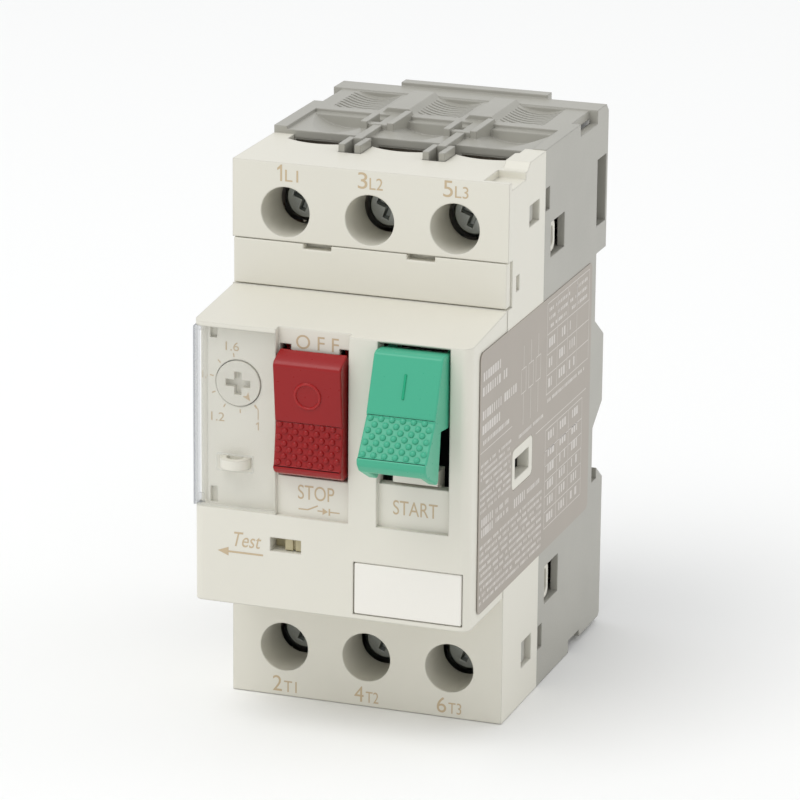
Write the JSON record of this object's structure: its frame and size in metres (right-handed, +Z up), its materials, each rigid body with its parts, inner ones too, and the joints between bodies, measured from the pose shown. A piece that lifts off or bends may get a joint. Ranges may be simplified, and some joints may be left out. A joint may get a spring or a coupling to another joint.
{
  "type": "motor protection breaker",
  "caption": "Three-pole motor protection breaker for a 35 mm rail, with rocker start and stop buttons, a current dial under a clear cover and screw clamp terminals.",
  "frame": {"origin": "centre of the rail seat plane: mid-width, on the rail's centreline height, on the plane that rests on the rail's flanges", "axes": "+Z up along the body's height, -Y out of the front with the buttons, +X to the right seen from the front"},
  "size_m": [0.0452, 0.0793, 0.0892],
  "materials": {
    "cover_plastic": "fine matt moulded thermoplastic, warm light grey",
    "base_plastic": "fine matt moulded thermoset, mid grey",
    "red_plastic": "satin moulded, deep red",
    "green_plastic": "satin moulded, sea green",
    "dial_plastic": "matt moulded, light grey",
    "clear_plastic": "clear moulded polycarbonate",
    "beige_plastic": "matt moulded, pale yellow grey",
    "white_plastic": "matt, near white",
    "label_film": "printed polyester film, taupe",
    "latch_plastic": "matt moulded, grey",
    "black_plastic": "matt moulded, black",
    "zinc_steel": "zinc plated",
    "spring_steel": "drawn wire",
    "copper_alloy": "bare copper strip",
    "enamelled_copper": "enamelled copper wire",
    "bimetal_strip": "rolled bimetal strip"
  },
  "bodies": {
    "housing": {"front_cover": "cover_plastic", "rear_base": "base_plastic", "blanking_cover": "cover_plastic", "marker_plate": "white_plastic", "rating_label": "label_film", "button_shaft": "zinc_steel", "divider_plate": "black_plastic", "mechanism_frame": "zinc_steel", "toggle_pin": "zinc_steel", "toggle_spring": "spring_steel", "latch_spring": "spring_steel", "line_terminal_1": "copper_alloy", "load_terminal_1": "copper_alloy", "load_contact_1": "copper_alloy", "arc_chute_1": "zinc_steel", "trip_coil_1": "enamelled_copper", "coil_bobbin_1": "black_plastic", "bimetal_1": "bimetal_strip", "line_terminal_2": "copper_alloy", "load_terminal_2": "copper_alloy", "load_contact_2": "copper_alloy", "arc_chute_2": "zinc_steel", "trip_coil_2": "enamelled_copper", "coil_bobbin_2": "black_plastic", "bimetal_2": "bimetal_strip", "line_terminal_3": "copper_alloy", "load_terminal_3": "copper_alloy", "load_contact_3": "copper_alloy", "arc_chute_3": "zinc_steel", "trip_coil_3": "enamelled_copper", "coil_bobbin_3": "black_plastic", "bimetal_3": "bimetal_strip"},
    "start_button": {"start_button": "green_plastic"},
    "stop_button": {"stop_button": "red_plastic"},
    "toggle_lever": {"toggle_lever": "zinc_steel"},
    "contact_bridge": {"contact_carrier": "black_plastic", "contact_springs": "spring_steel", "moving_contact_1": "copper_alloy", "moving_contact_2": "copper_alloy", "moving_contact_3": "copper_alloy"},
    "dial": {"current_dial": "dial_plastic"},
    "dial_cover": {"dial_cover": "clear_plastic"},
    "test_slider": {"test_slider": "beige_plastic"},
    "trip_bar": {"trip_bar": "black_plastic"},
    "rail_latch": {"din_latch": "latch_plastic"},
    "clamp_1": {"clamp_plate_1": "zinc_steel"},
    "screw_1": {"terminal_screw_1": "zinc_steel"},
    "clamp_2": {"clamp_plate_2": "zinc_steel"},
    "screw_2": {"terminal_screw_2": "zinc_steel"},
    "clamp_3": {"clamp_plate_3": "zinc_steel"},
    "screw_3": {"terminal_screw_3": "zinc_steel"},
    "clamp_4": {"clamp_plate_4": "zinc_steel"},
    "screw_4": {"terminal_screw_4": "zinc_steel"},
    "clamp_5": {"clamp_plate_5": "zinc_steel"},
    "screw_5": {"terminal_screw_5": "zinc_steel"},
    "clamp_6": {"clamp_plate_6": "zinc_steel"},
    "screw_6": {"terminal_screw_6": "zinc_steel"},
    "plunger_1": {"plunger_1": "zinc_steel"},
    "plunger_2": {"plunger_2": "zinc_steel"},
    "plunger_3": {"plunger_3": "zinc_steel"}
  },
  "joints": [
    {"name": "contacts_close", "type": "slide", "parent": "housing", "child": "contact_bridge", "axis": [0, 1, 0], "range_m": [0, 0.002]},
    {"name": "start_press", "type": "hinge", "parent": "housing", "child": "start_button", "pos_m": [0.0133, -0.0582, 0.0163], "axis": [1, 0, 0], "range_deg": [0, 28]},
    {"name": "stop_pop", "type": "hinge", "parent": "housing", "child": "stop_button", "pos_m": [-0.003, -0.0582, 0.0163], "axis": [1, 0, 0], "range_deg": [-28, 0]},
    {"name": "toggle_swing", "type": "hinge", "parent": "housing", "child": "toggle_lever", "pos_m": [0, -0.042, 0.0035], "axis": [1, 0, 0], "range_deg": [0, 14]},
    {"name": "dial_turn", "type": "hinge", "parent": "housing", "child": "dial", "pos_m": [-0.0156, -0.061, 0.0095], "axis": [0, 1, 0], "range_deg": [0, 209]},
    {"name": "cover_open", "type": "hinge", "parent": "housing", "child": "dial_cover", "pos_m": [-0.0219, -0.0609, 0.0041], "axis": [0, 0, -1], "range_deg": [0, 100]},
    {"name": "test_slide", "type": "slide", "parent": "housing", "child": "test_slider", "axis": [-1, 0, 0], "range_m": [0, 0.002], "stiffness_N_per_m": 150, "springref_m": -0.0005},
    {"name": "trip_slide", "type": "slide", "parent": "housing", "child": "trip_bar", "axis": [-1, 0, 0], "range_m": [0, 0.001]},
    {"name": "latch_slide", "type": "slide", "parent": "housing", "child": "rail_latch", "axis": [0, 0, -1], "range_m": [0, 0.0024], "stiffness_N_per_m": 800, "springref_m": -0.003, "deforming": ["latch_spring"]},
    {"name": "clamp_1_close", "type": "slide", "parent": "housing", "child": "clamp_1", "axis": [0, 1, 0], "range_m": [0, 0.0054]},
    {"name": "screw_1_turn", "type": "hinge", "parent": "clamp_1", "child": "screw_1", "pos_m": [-0.0138, -0.0368, 0.0329], "axis": [0, 1, 0], "range_deg": [0, 2777]},
    {"name": "clamp_2_close", "type": "slide", "parent": "housing", "child": "clamp_2", "axis": [0, 1, 0], "range_m": [0, 0.0054]},
    {"name": "screw_2_turn", "type": "hinge", "parent": "clamp_2", "child": "screw_2", "pos_m": [0, -0.0368, 0.0329], "axis": [0, 1, 0], "range_deg": [0, 2777]},
    {"name": "clamp_3_close", "type": "slide", "parent": "housing", "child": "clamp_3", "axis": [0, 1, 0], "range_m": [0, 0.0054]},
    {"name": "screw_3_turn", "type": "hinge", "parent": "clamp_3", "child": "screw_3", "pos_m": [0.0138, -0.0368, 0.0329], "axis": [0, 1, 0], "range_deg": [0, 2777]},
    {"name": "clamp_4_close", "type": "slide", "parent": "housing", "child": "clamp_4", "axis": [0, 1, 0], "range_m": [0, 0.0054]},
    {"name": "screw_4_turn", "type": "hinge", "parent": "clamp_4", "child": "screw_4", "pos_m": [-0.0138, -0.0368, -0.0383], "axis": [0, 1, 0], "range_deg": [0, 2777]},
    {"name": "clamp_5_close", "type": "slide", "parent": "housing", "child": "clamp_5", "axis": [0, 1, 0], "range_m": [0, 0.0054]},
    {"name": "screw_5_turn", "type": "hinge", "parent": "clamp_5", "child": "screw_5", "pos_m": [0, -0.0368, -0.0383], "axis": [0, 1, 0], "range_deg": [0, 2777]},
    {"name": "clamp_6_close", "type": "slide", "parent": "housing", "child": "clamp_6", "axis": [0, 1, 0], "range_m": [0, 0.0054]},
    {"name": "screw_6_turn", "type": "hinge", "parent": "clamp_6", "child": "screw_6", "pos_m": [0.0138, -0.0368, -0.0383], "axis": [0, 1, 0], "range_deg": [0, 2777]},
    {"name": "plunger_1_lift", "type": "slide", "parent": "housing", "child": "plunger_1", "axis": [0, 0, 1], "range_m": [0, 0.0015]},
    {"name": "plunger_2_lift", "type": "slide", "parent": "housing", "child": "plunger_2", "axis": [0, 0, 1], "range_m": [0, 0.0015]},
    {"name": "plunger_3_lift", "type": "slide", "parent": "housing", "child": "plunger_3", "axis": [0, 0, 1], "range_m": [0, 0.0015]}
  ],
  "couplings": [
    {"joint": "start_press", "follows": "contacts_close", "rad_per_m": 244.3},
    {"joint": "stop_pop", "follows": "contacts_close", "rad_per_m": -244.3},
    {"joint": "toggle_swing", "follows": "contacts_close", "rad_per_m": 122.1},
    {"joint": "trip_slide", "follows": "test_slide", "ratio": 0.5},
    {"joint": "screw_1_turn", "follows": "clamp_1_close", "rad_per_m": 8975},
    {"joint": "screw_2_turn", "follows": "clamp_2_close", "rad_per_m": 8975},
    {"joint": "screw_3_turn", "follows": "clamp_3_close", "rad_per_m": 8975},
    {"joint": "screw_4_turn", "follows": "clamp_4_close", "rad_per_m": 8975},
    {"joint": "screw_5_turn", "follows": "clamp_5_close", "rad_per_m": 8975},
    {"joint": "screw_6_turn", "follows": "clamp_6_close", "rad_per_m": 8975}
  ]
}
